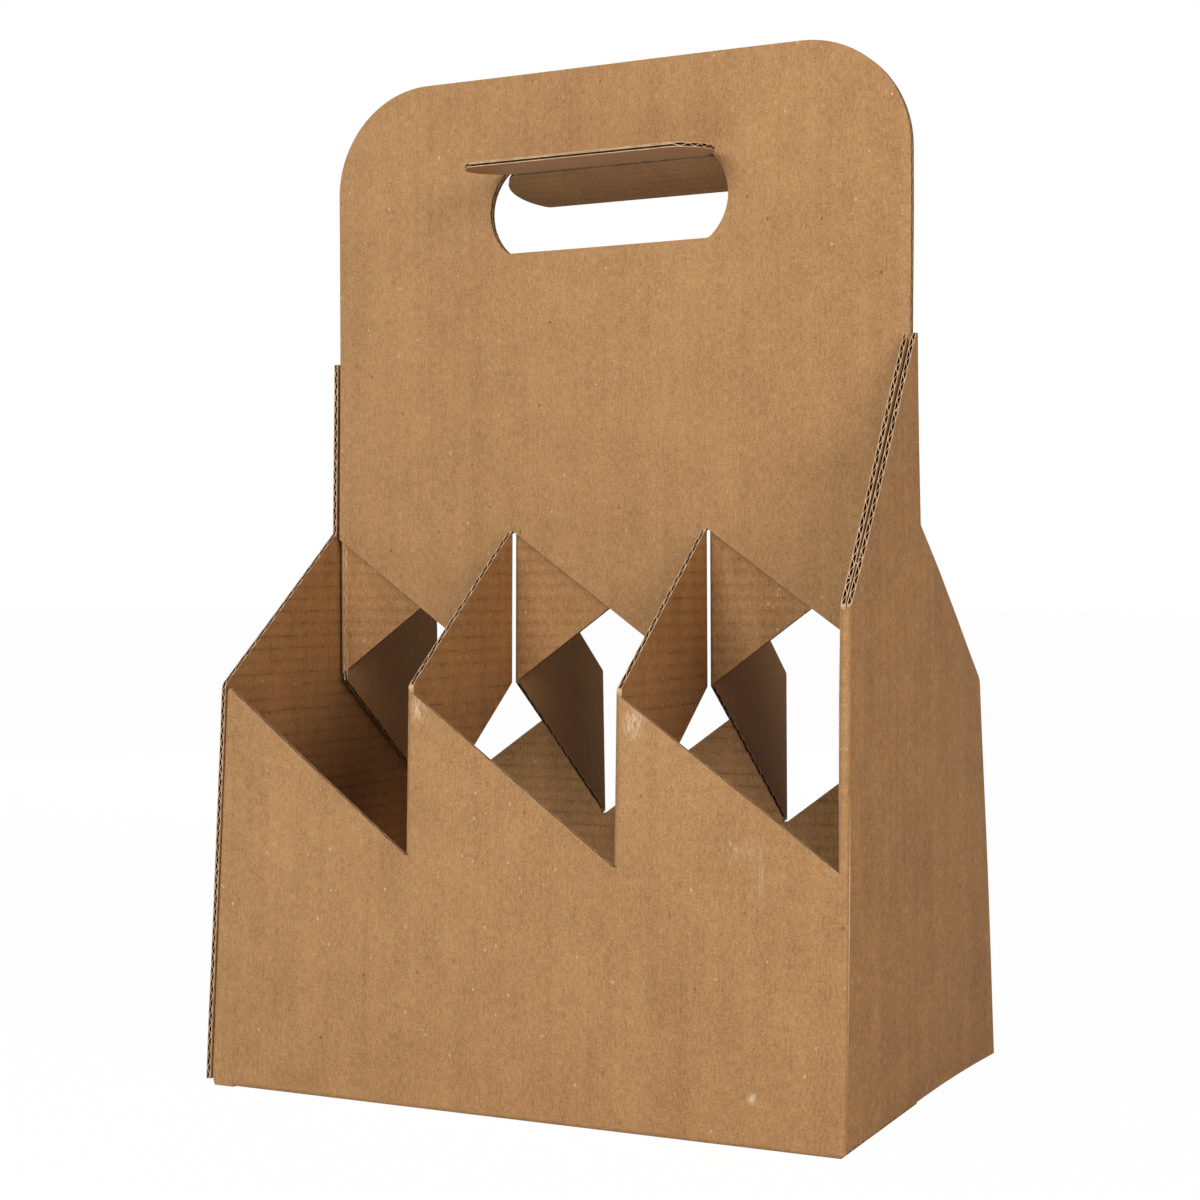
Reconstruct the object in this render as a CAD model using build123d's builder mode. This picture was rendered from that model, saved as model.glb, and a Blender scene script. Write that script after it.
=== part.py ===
from build123d import *
import os
from math import atan2, cos, degrees, radians, sin

# Bottle carrier of single-wall corrugated board: two identical folded half-blanks, glued back to back.
# Frame: origin at the middle of the base, +Z up, +X along the length, the front faces -Y. Millimetres.

# Outside sizes of the set-up carrier
length = 225.0
base_depth = 152.0
top_depth = 142.0
handle_height = 350.0

# Board and its folds; a fold is rounded by no more than largest_bend of the board's thickness
board = 1.6
fold_gap = 0.3
fold_radius = 1.4
largest_bend = 0.9

# Sawtooth cut that frees the dividers, one tooth to a cell
cells = 3
tooth_top = 135.5
tooth_drop = 54.0
slit_top = 188.5

# End walls: a long slope up to the handle, a step down behind it, a short slope to the far corner
shoulder_front = 161.0
shoulder_top = 251.0
wall_corner_radius = 4.0

# Handle and its hand hole, cut as a tongue that stays on its upper crease
handle_corner_radius = 37.5
hole_below_top = 33.5
hole_height = 29.5
hole_straight = 77.0
hole_bulge = 7.2
hole_corner_radius = 1.2
tongue_kerf = 0.4
tongue_crease = 0.3
front_tongue_angle = 85.0
rear_tongue_angle = 75.0

# Glue lap that joins each half-blank to the end wall of the other
lap_width = 35.0
lap_foot = 7.0
lap_foot_taper = 8.75
lap_below_tooth = 4.0

# Base: one wide flap from each long panel, hooked over and under its twin, and a narrow one from each end wall
base_flap_inset = 9.0
hook_ramp = 8.0
hook_bend = 0.4
hook_tongue = 12.0
hook_kerf = 1.0
end_flap_reach = 42.0
end_flap_inset = 14.0
end_flap_taper = 6.0

# Worked out from the sizes above
cell_pitch = length / cells
tooth_low = tooth_top - tooth_drop
slit_low = slit_top - tooth_drop
lean = (base_depth - top_depth) / 2 / tooth_top
lean_angle = atan2(lean, 1.0)
wall_foot = board + fold_gap
handle_half = length / 2 - board - fold_gap
hole_top = handle_height - hole_below_top
panel_left = -length / 2 + board
panel_right = length / 2
flap_inner = length / 2 - 2 * board - fold_gap
bend = min(fold_radius, largest_bend * board)
folds = [-length / 2 + cell_pitch * i for i in range(1, cells)]


def front_at(z):
    """Outer face of the leaning front panel at height z."""
    return -base_depth / 2 + lean * z


def leaning(height):
    """Slanted extrusion of a plan section, parallel to the front panel, up to a rise in Z."""
    return dict(amount=height / cos(lean_angle), dir=(0, sin(lean_angle), cos(lean_angle)))


def sawtooth(high, low, left, right):
    """Corners of a toothed edge from left to right: each tooth falls towards +X, then steps up at a fold."""
    corners = [(left, high)]
    for x in folds:
        corners += [(x, low), (x, high)]
    return corners + [(right, low)]


def upright_edges(part, x, y_at):
    """Fold edges of a part that stand at x, where the depth is y_at(z)."""
    found = []
    for edge in part.edges().filter_by(GeomType.LINE):
        middle = edge @ 0.5
        rises = abs((edge @ 1).Z - (edge @ 0).Z) > 0.9 * edge.length
        if rises and abs(middle.X - x) < 0.01 and abs(middle.Y - y_at(middle.Z)) < 0.01:
            found.append(edge)
    return found


def hole_outline(shrink, top):
    """Sketch lines of the hand hole below its upper edge: straight top and foot, bulging ends."""
    half = hole_straight / 2 - shrink
    foot = hole_height - shrink
    middle = (top + foot) / 2
    Line((-half, -top), (half, -top))
    ThreePointArc((half, -top), (half + hole_bulge, -middle), (half, -foot))
    Line((half, -foot), (-half, -foot))
    ThreePointArc((-half, -foot), (-half - hole_bulge, -middle), (-half, -top))


def round_foot(corners):
    """Slightly round the two corners at the foot of the hand hole or of its tongue."""
    fillet(corners.group_by(Axis.Y)[0], radius=hole_corner_radius)


# Front panel: a leaning sheet with its toothed upper edge
with BuildPart() as front_panel:
    with BuildSketch(Plane.XY):
        with Locations(((panel_left + panel_right) / 2, front_at(0) + board / 2)):
            Rectangle(panel_right - panel_left, board)
    extrude(**leaning(tooth_top))
    with BuildSketch(Plane.XZ):
        with BuildLine():
            teeth = [(x - board, z) for x, z in sawtooth(tooth_top, tooth_low, -length / 2, panel_right)[1:-1]]
            Polyline(
                (panel_left, tooth_top),
                *teeth,
                (panel_right, tooth_low),
                (panel_right + board, tooth_low),
                (panel_right + board, tooth_top + board),
                (panel_left, tooth_top + board),
                close=True,
            )
        make_face()
    extrude(amount=base_depth + top_depth, mode=Mode.SUBTRACT)

# Right end wall: full depth, glued at its far edge over the lap of the other half-blank
with BuildPart() as end_wall:
    with BuildSketch(Plane.YZ.offset(length / 2)):
        with BuildLine():
            Polyline(
                (front_at(wall_foot), wall_foot),
                (front_at(shoulder_front), shoulder_front),
                (0, shoulder_top),
                (board, shoulder_top),
                (board, slit_top),
                (-front_at(tooth_top), tooth_top),
                (-front_at(wall_foot), wall_foot),
                close=True,
            )
        make_face()
        far_corner = vertices().sort_by(Axis.X)[-2:].sort_by(Axis.Y)[-1]
        fillet(far_corner, radius=wall_corner_radius)
    extrude(amount=-board)

# Inner flap: folded flat back against the end wall, from the front corner to the middle
with BuildPart() as inner_flap:
    with BuildSketch(Plane.YZ.offset(flap_inner + board)):
        with BuildLine():
            Polyline(
                (front_at(tooth_low), tooth_low),
                (front_at(shoulder_front), shoulder_front),
                (0, shoulder_top),
                (0, slit_low),
                close=True,
            )
        make_face()
    extrude(amount=-board)
    with BuildSketch(Plane.XY.offset(tooth_low)):
        with Locations((length / 2, front_at(tooth_low))):
            Rectangle(length / 2 - flap_inner, board, align=(Align.MAX, Align.MIN))
    extrude(**leaning(shoulder_front - tooth_low))

# Handle layer: full height, toothed lower edge, rounded top corners, hand hole
with BuildPart() as handle_layer:
    with BuildSketch(Plane.XZ.offset(board)):
        with BuildLine():
            Polyline(
                *sawtooth(slit_top, slit_low, -length / 2, length / 2),
                (length / 2, handle_height),
                (-length / 2, handle_height),
                close=True,
            )
        make_face()
        with Locations((0, handle_height / 2)):
            Rectangle(2 * handle_half, handle_height, mode=Mode.INTERSECT)
        fillet(vertices().group_by(Axis.Y)[-1], radius=handle_corner_radius)
    extrude(amount=-board)
    with BuildSketch(Plane.XZ.offset(board).shift_origin((0, -board, hole_top))):
        with BuildLine():
            hole_outline(0, 0)
        make_face()
        round_foot(vertices())
    extrude(amount=-board, mode=Mode.SUBTRACT)

# Dividers: parallelograms that tie the handle layer to the front panel
with BuildPart() as dividers:
    for x in folds:
        with BuildSketch(Plane.YZ.offset(x)):
            with BuildLine():
                Polyline(
                    (front_at(tooth_low), tooth_low),
                    (front_at(tooth_top), tooth_top),
                    (-board, slit_top),
                    (0, slit_top),
                    (0, slit_low),
                    (-board, slit_low),
                    close=True,
                )
            make_face()
        extrude(amount=-board)

# Glue lap: folded from the left edge of the front panel, inside the end wall of the other half-blank
with BuildPart() as glue_lap:
    lap_head = tooth_top - lap_below_tooth
    with BuildSketch(Plane.YZ.offset(panel_left)):
        with BuildLine():
            Polyline(
                (front_at(lap_foot), lap_foot),
                (front_at(lap_head), lap_head),
                (front_at(lap_head) + lap_width, lap_head - lap_width),
                (front_at(lap_head) + lap_width, lap_foot + lap_foot_taper),
                (front_at(lap_foot) + board, lap_foot),
                close=True,
            )
        make_face()
    extrude(amount=board)

# Base flap: flat on one half of its length, and on the other it rises over its twin in a hooked tongue
with BuildPart() as base_flap:
    flap_left = panel_left + base_flap_inset
    with BuildSketch(Plane.XY):
        with Locations((flap_left, front_at(0))):
            Rectangle(length / 2 - flap_left, base_depth / 2 - hook_ramp, align=(Align.MIN, Align.MIN))
        with Locations((hook_kerf, front_at(0))):
            Rectangle(length / 2 - hook_kerf, base_depth / 2, align=(Align.MIN, Align.MIN))
    extrude(amount=board)
    with BuildSketch(Plane.YZ.offset(flap_left)):
        with BuildLine():
            Polyline(
                (-hook_ramp - board, 0),
                (-hook_ramp, 0),
                (0, wall_foot),
                (hook_tongue, wall_foot),
                (hook_tongue, wall_foot + board),
                (-hook_bend, wall_foot + board),
                (-hook_ramp - hook_bend, board),
                (-hook_ramp - board, board),
                close=True,
            )
        make_face()
    extrude(amount=-flap_left - hook_kerf)

# End flap: folded in from the foot of the end wall, on top of the base flap
with BuildPart() as end_flap:
    with BuildSketch(Plane.XY.offset(wall_foot)):
        with BuildLine():
            near = front_at(0) + end_flap_inset
            Polyline(
                (length / 2, near),
                (length / 2 - end_flap_reach, near + end_flap_taper),
                (length / 2 - end_flap_reach, -end_flap_inset - end_flap_taper),
                (length / 2, -end_flap_inset),
                close=True,
            )
        make_face()
    extrude(amount=board)

# Front half-blank: the folded sheet in one piece, with its folds rounded on the outside
with BuildPart() as front_blank:
    add(front_panel.part)
    add(end_wall.part)
    add(inner_flap.part)
    add(handle_layer.part)
    add(dividers.part)
    add(glue_lap.part)
    add(base_flap.part)
    add(end_flap.part)
    corner_folds = upright_edges(front_blank.part, length / 2, front_at)
    corner_folds += upright_edges(front_blank.part, flap_inner, front_at)
    corner_folds += upright_edges(front_blank.part, panel_left, front_at)
    for x in folds:
        corner_folds += upright_edges(front_blank.part, x - board, front_at)
        corner_folds += upright_edges(front_blank.part, x, lambda z: 0)
    foot_fold = front_blank.edges().filter_by(Axis.X).group_by(Axis.Z)[0].sort_by(Axis.Y)[0]
    fillet(corner_folds + [foot_fold], radius=bend)
front_blank.part.label = "front_blank"

# Rear half-blank: the same sheet, turned half a turn about the upright axis
with BuildPart() as rear_blank:
    add(front_blank.part, rotation=(0, 0, 180))
rear_blank.part.label = "rear_blank"


def tongue_plane(side, angle):
    """Plane of a tongue, side -1 in front and 1 behind, swung out about its crease by an angle in degrees."""
    swing = radians(angle)
    return Plane(
        origin=(0, side * board, hole_top),
        x_dir=(-side, 0, 0),
        z_dir=(0, side * cos(swing), sin(swing)),
    )


# Tongues of the hand hole, each swung out to its own side
with BuildPart() as front_hand_flap:
    with BuildSketch(tongue_plane(-1, front_tongue_angle)):
        with BuildLine():
            hole_outline(tongue_kerf, tongue_crease)
        make_face()
        round_foot(vertices())
    extrude(amount=-board)
front_hand_flap.part.label = "front_hand_flap"

with BuildPart() as rear_hand_flap:
    with BuildSketch(tongue_plane(1, rear_tongue_angle)):
        with BuildLine():
            hole_outline(tongue_kerf, tongue_crease)
        make_face()
        round_foot(vertices())
    extrude(amount=-board)
rear_hand_flap.part.label = "rear_hand_flap"

os.makedirs("parts", exist_ok=True)
for piece in (front_blank, rear_blank, front_hand_flap, rear_hand_flap):
    export_step(piece.part, f"parts/{piece.part.label}.step")
print("panel lean in degrees", round(degrees(lean_angle), 2))
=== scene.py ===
import logging
import math
from dataclasses import dataclass, field
from enum import Enum, IntEnum

import bmesh
import bpy
from mathutils import Matrix, Vector, noise


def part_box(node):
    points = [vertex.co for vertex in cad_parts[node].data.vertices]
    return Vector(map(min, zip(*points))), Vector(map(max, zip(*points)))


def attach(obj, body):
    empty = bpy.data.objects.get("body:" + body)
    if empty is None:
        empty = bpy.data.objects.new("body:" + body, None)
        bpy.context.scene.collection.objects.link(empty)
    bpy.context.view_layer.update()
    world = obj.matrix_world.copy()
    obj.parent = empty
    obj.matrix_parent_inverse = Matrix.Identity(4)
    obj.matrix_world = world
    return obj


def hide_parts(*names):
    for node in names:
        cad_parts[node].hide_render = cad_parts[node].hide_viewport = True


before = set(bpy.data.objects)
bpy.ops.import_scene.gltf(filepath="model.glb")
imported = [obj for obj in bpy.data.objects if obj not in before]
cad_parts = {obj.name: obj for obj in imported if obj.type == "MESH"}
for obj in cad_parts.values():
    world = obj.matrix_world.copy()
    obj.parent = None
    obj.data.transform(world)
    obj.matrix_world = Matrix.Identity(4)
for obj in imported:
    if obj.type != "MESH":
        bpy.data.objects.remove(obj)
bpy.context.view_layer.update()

LOG = logging.getLogger("bottle_carrier")
MM = 0.001
WELD = 1e-7
SHARP = math.radians(40)

# The flat place that each vertex keeps. Its third value tells the panel: a step for each one, and more for a
# hand flap and for the rear half-blank.
PLACE = "flat_place"
PANEL_STEP = 0.1
FLAP_SHIFT = 1.5
REAR_SHIFT = 3.0

# Directions of the carrier's frame
RIGHT = Vector((1, 0, 0))
BACK = Vector((0, 1, 0))
UP = Vector((0, 0, 1))

Corner = tuple[float, float]
Triple = tuple[float, float, float]


class Skin(IntEnum):
    """What a face of the board shows, in the order of a piece's material slots."""

    OUTER = 0
    INNER = 1
    EDGE = 2
    # The medium's paper, painted dark as shade inside the flute cells; the liners' backs, which face the
    # cells, show it too.
    MEDIUM = 3


class Turn(Enum):
    """Which half-blank is built: the front one as it is, or the rear one turned half round."""

    FRONT = 0.0
    REAR = math.pi

    @property
    def shift(self) -> float:
        """What this half-blank adds to the third value of its flat places."""
        return REAR_SHIFT if self is Turn.REAR else 0.0


@dataclass(frozen=True)
class Board:
    """Single-wall corrugated board: two liners and a fluted medium between them, in metres."""

    caliper: float = 1.6 * MM
    liner: float = 0.27 * MM
    medium: float = 0.28 * MM
    medium_room: float = 0.6
    flute_pitch: float = 4.4 * MM
    flute_steps: int = 12
    fold_radius: float = 1.75 * MM
    fold_steps: int = 8
    crush_in: float = 0.08 * MM
    crush_width: float = 0.4 * MM

    def flute_height(self, along: float) -> float:
        """Middle of the medium, measured from the outer face, at a place across the flutes.

        Args:
            along: distance across the flutes, in metres.

        Returns:
            The depth below the outer face, as a negative height.
        """
        swing = (self.caliper - 2 * self.liner - self.medium_room * self.medium) / 2
        return -self.caliper / 2 + swing * math.sin(2 * math.pi * along / self.flute_pitch)


@dataclass(frozen=True)
class CarrierSizes:
    """Sizes of the set-up carrier in metres, angles in degrees. The overall sizes come from the frame."""

    length: float
    base_depth: float
    height: float
    top_depth: float = 142 * MM
    fold_gap: float = 0.3 * MM
    cells: int = 3
    tooth_top: float = 135.5 * MM
    tooth_drop: float = 54 * MM
    slit_top: float = 188.5 * MM
    shoulder_front: float = 161 * MM
    shoulder_top: float = 251 * MM
    wall_corner_radius: float = 4 * MM
    corner_start: float = 0.4
    handle_corner_radius: float = 37.5 * MM
    hole_below_top: float = 33.5 * MM
    hole_height: float = 29.5 * MM
    hole_straight: float = 77 * MM
    hole_bulge: float = 7.2 * MM
    hole_corner_radius: float = 2.6 * MM
    handle_inset: float = 3.1 * MM
    flap_spring: float = 1.9 * MM
    tongue_kerf: float = 0.4 * MM
    tongue_crease: float = 0.3 * MM
    front_tongue_angle: float = 85
    tongue_play: float = 0.06 * MM
    rear_tongue_angle: float = 75
    tongue_band: float = 3.4 * MM
    tongue_curl: float = 2
    lap_width: float = 35 * MM
    lap_foot: float = 7 * MM
    lap_foot_rise: float = 0.25
    lap_below_tooth: float = 4 * MM
    base_flap_inset: float = 9 * MM
    hook_ramp: float = 8 * MM
    hook_tongue: float = 12 * MM
    hook_kerf: float = 1 * MM
    end_flap_reach: float = 42 * MM
    end_flap_inset: float = 14 * MM
    end_flap_taper: float = 6 * MM

    @classmethod
    def from_frame(cls) -> "CarrierSizes":
        """Reads the overall sizes from the front half-blank's box and returns the full set."""
        low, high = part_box("front_blank")
        return cls(length=2 * high.x, base_depth=-2 * low.y, height=high.z)

    @property
    def tooth_low(self) -> float:
        """Height of the low end of each front tooth."""
        return self.tooth_top - self.tooth_drop

    @property
    def slit_low(self) -> float:
        """Height of the low end of each handle tooth."""
        return self.slit_top - self.tooth_drop

    @property
    def lean(self) -> float:
        """Slope of the front panel: how far it goes back for each unit of height."""
        return (self.base_depth - self.top_depth) / 2 / self.tooth_top

    @property
    def folds(self) -> list[float]:
        """Places along the length where the dividers stand."""
        pitch = self.length / self.cells
        return [-self.length / 2 + pitch * i for i in range(1, self.cells)]

    @property
    def hole_top(self) -> float:
        """Height of the hand hole's upper edge, which is the crease of the tongues."""
        return self.height - self.hole_below_top

    def front_at(self, z: float) -> float:
        """Depth of the front panel's outer face at a height z."""
        return -self.base_depth / 2 + self.lean * z


def arc(start: Corner, middle: Corner, end: Corner, steps: int) -> list[Corner]:
    """Points of the arc through three places, without its last point.

    Args:
        start: first point.
        middle: a point on the way.
        end: last point.
        steps: number of straight pieces.

    Returns:
        The points from start up to, but not with, end.
    """
    (ax, ay), (bx, by), (cx, cy) = start, middle, end
    d = 2 * (ax * (by - cy) + bx * (cy - ay) + cx * (ay - by))
    a2, b2, c2 = ax * ax + ay * ay, bx * bx + by * by, cx * cx + cy * cy
    ux = (a2 * (by - cy) + b2 * (cy - ay) + c2 * (ay - by)) / d
    uy = (a2 * (cx - bx) + b2 * (ax - cx) + c2 * (bx - ax)) / d
    radius = math.hypot(ax - ux, ay - uy)
    first = math.atan2(ay - uy, ax - ux)
    turn_mid = (math.atan2(by - uy, bx - ux) - first) % math.tau
    turn = (math.atan2(cy - uy, cx - ux) - first) % math.tau
    if turn_mid > turn:
        turn -= math.tau
    angles = [first + turn * i / steps for i in range(steps)]
    return [(ux + radius * math.cos(a), uy + radius * math.sin(a)) for a in angles]


def rounded(corners: list[Corner], at: int, radius: float, steps: int = 8) -> list[Corner]:
    """Rounds one corner of an outline.

    Args:
        corners: the outline's corners in order.
        at: index of the corner to round.
        radius: radius of the rounding, in metres.
        steps: straight pieces in the arc.

    Returns:
        The outline with the arc in the corner's place.
    """
    corner = Vector(corners[at])
    before = (Vector(corners[at - 1]) - corner).normalized()
    after = (Vector(corners[(at + 1) % len(corners)]) - corner).normalized()
    half = before.angle(after) / 2
    reach = radius / math.tan(half)
    start, end = corner + before * reach, corner + after * reach
    middle = corner + (before + after).normalized() * (radius / math.sin(half) - radius)
    points = arc(tuple(start), tuple(middle), tuple(end), steps) + [tuple(end)]
    return corners[:at] + points + corners[at + 1:]


def inside(loops: list[list[Corner]], place: Vector) -> bool:
    """Says whether a place lies within an outline and outside its holes.

    Args:
        loops: the outline and its holes.
        place: the place to test.

    Returns:
        True where the place is on the board.
    """
    odd = False
    for loop in loops:
        for (ax, ay), (bx, by) in zip(loop, loop[1:] + loop[:1]):
            if (ay > place.y) != (by > place.y):
                odd ^= place.x < ax + (place.y - ay) / (by - ay) * (bx - ax)
    return odd


def cut_to(bm: bmesh.types.BMesh, loops: list[list[Corner]]) -> None:
    """Cuts a flat grid along an outline and its holes, and drops what lies outside.

    Args:
        bm: the grid, flat in the plane of the sheet.
        loops: the outline and its holes.
    """
    for loop in loops:
        for a, b in zip(loop, loop[1:] + loop[:1]):
            start, end = Vector((*a, 0)), Vector((*b, 0))
            if (end - start).length < WELD:
                continue
            low = Vector(map(min, start, end))
            high = Vector(map(max, start, end))
            near = []
            for face in bm.faces:
                xs = [v.co.x for v in face.verts]
                ys = [v.co.y for v in face.verts]
                if max(xs) >= low.x and min(xs) <= high.x and max(ys) >= low.y and min(ys) <= high.y:
                    near.append(face)
            rims = {e for f in near for e in f.edges}
            ends = {v for f in near for v in f.verts}
            across = (end - start).cross(UP).normalized()
            bmesh.ops.bisect_plane(
                bm, geom=near + list(rims) + list(ends), dist=WELD, plane_co=start, plane_no=across
            )
    waste = [f for f in bm.faces if not inside(loops, f.calc_center_median())]
    bmesh.ops.delete(bm, geom=waste, context="FACES")


def thicken(bm: bmesh.types.BMesh, depth: float) -> None:
    """Gives an open sheet its thickness, downwards from where it lies.

    Args:
        bm: the open sheet.
        depth: the thickness, in metres.
    """
    made = bmesh.ops.extrude_face_region(bm, geom=bm.faces[:])["geom"]
    moved = [g for g in made if isinstance(g, bmesh.types.BMVert)]
    bmesh.ops.translate(bm, verts=moved, vec=(0, 0, -depth))
    bmesh.ops.recalc_face_normals(bm, faces=bm.faces[:])


def note_places(bm: bmesh.types.BMesh, layer_shift: float) -> None:
    """Writes where each vertex lies on the flat sheet, which the finishes read.

    Args:
        bm: the sheet, before it is stood in its place.
        layer_shift: a distance that tells one panel's place from another's.
    """
    places = bm.verts.layers.float_vector.new(PLACE)
    for v in bm.verts:
        v[places] = v.co + Vector((0, 0, layer_shift))


def stand(origin: Vector, along: Vector, up: Vector, out: Vector) -> Matrix:
    """Place of a panel: where its flat directions go in the carrier.

    Args:
        origin: where the sheet's own origin goes.
        along: direction of its width.
        up: direction of its height.
        out: direction that its outer face looks.

    Returns:
        The matrix that stands the flat sheet in the carrier.
    """
    columns = Matrix((along, up, out)).transposed().to_4x4()
    return Matrix.Translation(origin) @ columns


@dataclass
class Panel:
    """One flat panel of board, drawn flat and then stood in its place."""

    name: str
    outline: list[Corner]
    place: Matrix
    shift: float
    holes: list[list[Corner]] = field(default_factory=list)
    step: float = 20 * MM
    crushed: bool = False

    def _grid(self, step_u: float, step_v: float) -> bmesh.types.BMesh:
        """A flat grid over the panel, cut to its outline.

        Args:
            step_u: spacing along the flutes.
            step_v: spacing across the flutes.

        Returns:
            The cut grid.
        """
        us, vs = zip(*self.outline)
        middle = Vector(((min(us) + max(us)) / 2, (min(vs) + max(vs)) / 2, 0))
        width, height = max(us) - min(us), max(vs) - min(vs)
        bm = bmesh.new()
        bmesh.ops.create_grid(
            bm,
            x_segments=max(1, math.ceil(width / step_u)),
            y_segments=max(1, math.ceil(height / step_v)),
            size=0.5,
        )
        bmesh.ops.scale(bm, verts=bm.verts[:], vec=(width, height, 1))
        bmesh.ops.translate(bm, verts=bm.verts[:], vec=middle)
        cut_to(bm, [self.outline] + self.holes)
        return bm

    def _finish(self, bm: bmesh.types.BMesh, part: str) -> bpy.types.Object:
        """Notes the flat places, stands the sheet up and makes it an object.

        Args:
            bm: the closed sheet, still flat.
            part: word for this layer of the board.

        Returns:
            The new object.
        """
        note_places(bm, self.shift)
        for edge in bm.edges:
            if len(edge.link_faces) == 2 and edge.calc_face_angle() > SHARP:
                edge.smooth = False
        for face in bm.faces:
            face.smooth = True
        bmesh.ops.transform(bm, matrix=self.place, verts=bm.verts[:])
        bmesh.ops.recalc_face_normals(bm, faces=bm.faces[:])
        return as_object(bm, f"{self.name}_{part}")

    def liner(self, board: Board, skin: Skin) -> bpy.types.Object:
        """One paper face of the board.

        Args:
            board: the board's sizes.
            skin: OUTER or INNER.

        Returns:
            The liner as an object.
        """
        bm = self._grid(self.step, self.step)
        top = 0.0 if skin is Skin.OUTER else board.liner - board.caliper
        bmesh.ops.translate(bm, verts=bm.verts[:], vec=(0, 0, top))
        thicken(bm, board.liner)
        looks = 1 if skin is Skin.OUTER else -1
        for face in bm.faces:
            facing = face.normal.z * looks
            # A liner's back faces the flute cells and takes the medium's dark finish, which is painted shade.
            face.material_index = skin if facing > 0.9 else Skin.MEDIUM if facing < -0.9 else Skin.EDGE
        return self._finish(bm, skin.name.lower())

    def medium(self, board: Board) -> bpy.types.Object:
        """The fluted paper between the liners.

        Args:
            board: the board's sizes.

        Returns:
            The medium as an object.
        """
        bm = self._grid(2 * self.step, board.flute_pitch / board.flute_steps)
        for v in bm.verts:
            v.co.z = board.flute_height(v.co.y) + board.medium / 2
        thicken(bm, board.medium)
        for face in bm.faces:
            # The medium's faces lie inside the flute cells, where their dark finish is painted shade; its cut
            # ends show as cut paper.
            face.material_index = Skin.MEDIUM if abs(face.normal.z) > 0.3 else Skin.EDGE
        return self._finish(bm, "medium")

    def rim(self, board: Board) -> bpy.types.Object:
        """Paper that the die crushed over the flutes, all round the cut.

        Args:
            board: the board's sizes.

        Returns:
            The rim as an object.
        """
        bm = bmesh.new()
        core = bm.faces.new([bm.verts.new((u, v, -board.liner)) for u, v in self.outline])
        outer = bmesh.ops.inset_region(bm, faces=[core], thickness=board.crush_in, use_even_offset=True)
        bmesh.ops.inset_region(bm, faces=[core], thickness=board.crush_width, use_even_offset=True)
        bmesh.ops.delete(bm, geom=outer["faces"] + [core], context="FACES")
        thicken(bm, board.caliper - 2 * board.liner)
        for face in bm.faces:
            face.material_index = Skin.EDGE
        return self._finish(bm, "rim")

    def build(self, board: Board) -> list[bpy.types.Object]:
        """Makes the two liners, the medium and, where the cut is crushed, its rim, and returns them."""
        layers = [self.liner(board, Skin.OUTER), self.liner(board, Skin.INNER), self.medium(board)]
        return layers + [self.rim(board)] if self.crushed else layers


@dataclass
class Fold:
    """A rounded fold of the board, a quarter turn from one panel to the next."""

    name: str
    start: Vector
    end: Vector
    away: Vector
    turn: float
    skin: Skin
    flat: Vector
    drift: Corner = (0.0, 0.0)

    def build(self, board: Board) -> list[bpy.types.Object]:
        """Turns the section of the board about the fold's line, and slants its two cut ends.

        Args:
            board: the board's sizes.

        Returns:
            The fold as a list of one object.
        """
        bm = bmesh.new()
        reach = self.away.normalized() * board.fold_radius
        inner = self.away.normalized() * (board.fold_radius - board.caliper)
        corners = [self.start + inner, self.end + inner, self.end + reach, self.start + reach]
        section = bm.faces.new([bm.verts.new(c) for c in corners])
        axis = (self.end - self.start).normalized()
        bmesh.ops.spin(
            bm,
            geom=[section] + section.edges[:] + section.verts[:],
            cent=self.start,
            axis=axis,
            angle=self.turn,
            steps=board.fold_steps,
            use_merge=False,
            use_duplicate=False,
        )
        bmesh.ops.remove_doubles(bm, verts=bm.verts[:], dist=WELD)
        bmesh.ops.recalc_face_normals(bm, faces=bm.faces[:])
        places = bm.verts.layers.float_vector.new(PLACE)
        length = (self.end - self.start).length
        other = Skin.INNER if self.skin is Skin.OUTER else Skin.OUTER
        for face in bm.faces:
            spoke = face.calc_center_median() - self.start
            spoke -= axis * spoke.dot(axis)
            rim = abs(face.normal.dot(axis)) < 0.5 and abs(face.normal.dot(spoke.normalized())) > 0.7
            outside = spoke.length > board.fold_radius - board.caliper / 2
            face.material_index = (self.skin if outside else other) if rim else Skin.EDGE
            face.smooth = rim
        for v in bm.verts:
            rise = (v.co - self.start).dot(axis)
            spoke = (v.co - self.start) - axis * rise
            swing = spoke.angle(reach)
            share = swing / abs(self.turn)
            v[places] = self.flat + Vector((swing * board.fold_radius, rise, 0))
            v.co += axis * share * self.drift[1 if rise > length / 2 else 0]
        return [as_object(bm, self.name)]


def as_object(bm: bmesh.types.BMesh, name: str) -> bpy.types.Object:
    """Makes an object of a mesh and puts it in the scene.

    Args:
        bm: the mesh, which is freed.
        name: the object's name.

    Returns:
        The new object, at the origin.
    """
    mesh = bpy.data.meshes.new(name)
    bm.to_mesh(mesh)
    bm.free()
    made = bpy.data.objects.new(name, mesh)
    bpy.context.scene.collection.objects.link(made)
    return made


def joined(
    parts: list[bpy.types.Object], name: str, finishes: list[bpy.types.Material]
) -> bpy.types.Object:
    """Gives layers and folds their finishes and joins them into one sheet.

    Args:
        parts: the objects to join.
        name: name of the joined piece.
        finishes: the finishes in the order of the skins.

    Returns:
        The joined piece.
    """
    for part in parts:
        for finish in finishes:
            part.data.materials.append(finish)
    with bpy.context.temp_override(
        active_object=parts[0], object=parts[0], selected_editable_objects=parts
    ):
        bpy.ops.object.join()
    parts[0].name = name
    parts[0].data.name = name
    return parts[0]


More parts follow.
